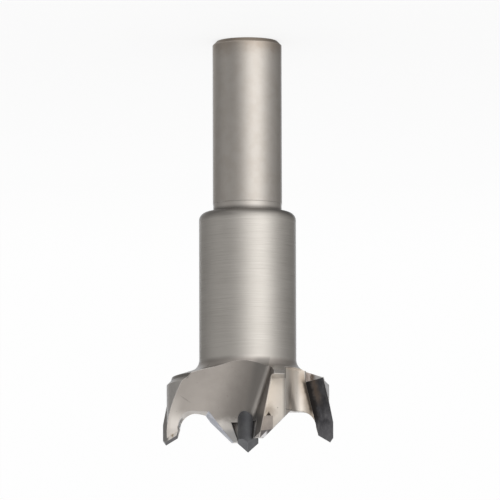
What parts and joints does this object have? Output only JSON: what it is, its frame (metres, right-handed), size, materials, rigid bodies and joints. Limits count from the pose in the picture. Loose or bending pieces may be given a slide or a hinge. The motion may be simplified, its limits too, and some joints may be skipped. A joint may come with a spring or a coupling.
{
  "type": "boring bit",
  "caption": "Carbide tipped boring bit for flat-bottomed holes, with a round shank, a stepped collar and a two-winged cutting head.",
  "frame": {"origin": "centre of the flat end of the shank, which the bit stands on", "axes": "+Z along the axis from the shank's end to the centre point; +X along one wing; the cutting face of the +X wing looks along +Y"},
  "size_m": [0.0248, 0.0198, 0.0598],
  "materials": {
    "steel": "fine turned and ground, satin",
    "carbide": "ground sintered carbide, dark satin"
  },
  "bodies": {
    "root": {"body": "steel", "centre_point": "carbide", "outer_tip_a": "carbide", "outer_tip_b": "carbide", "inner_tip_a": "carbide", "inner_tip_b": "carbide"}
  },
  "joints": []
}
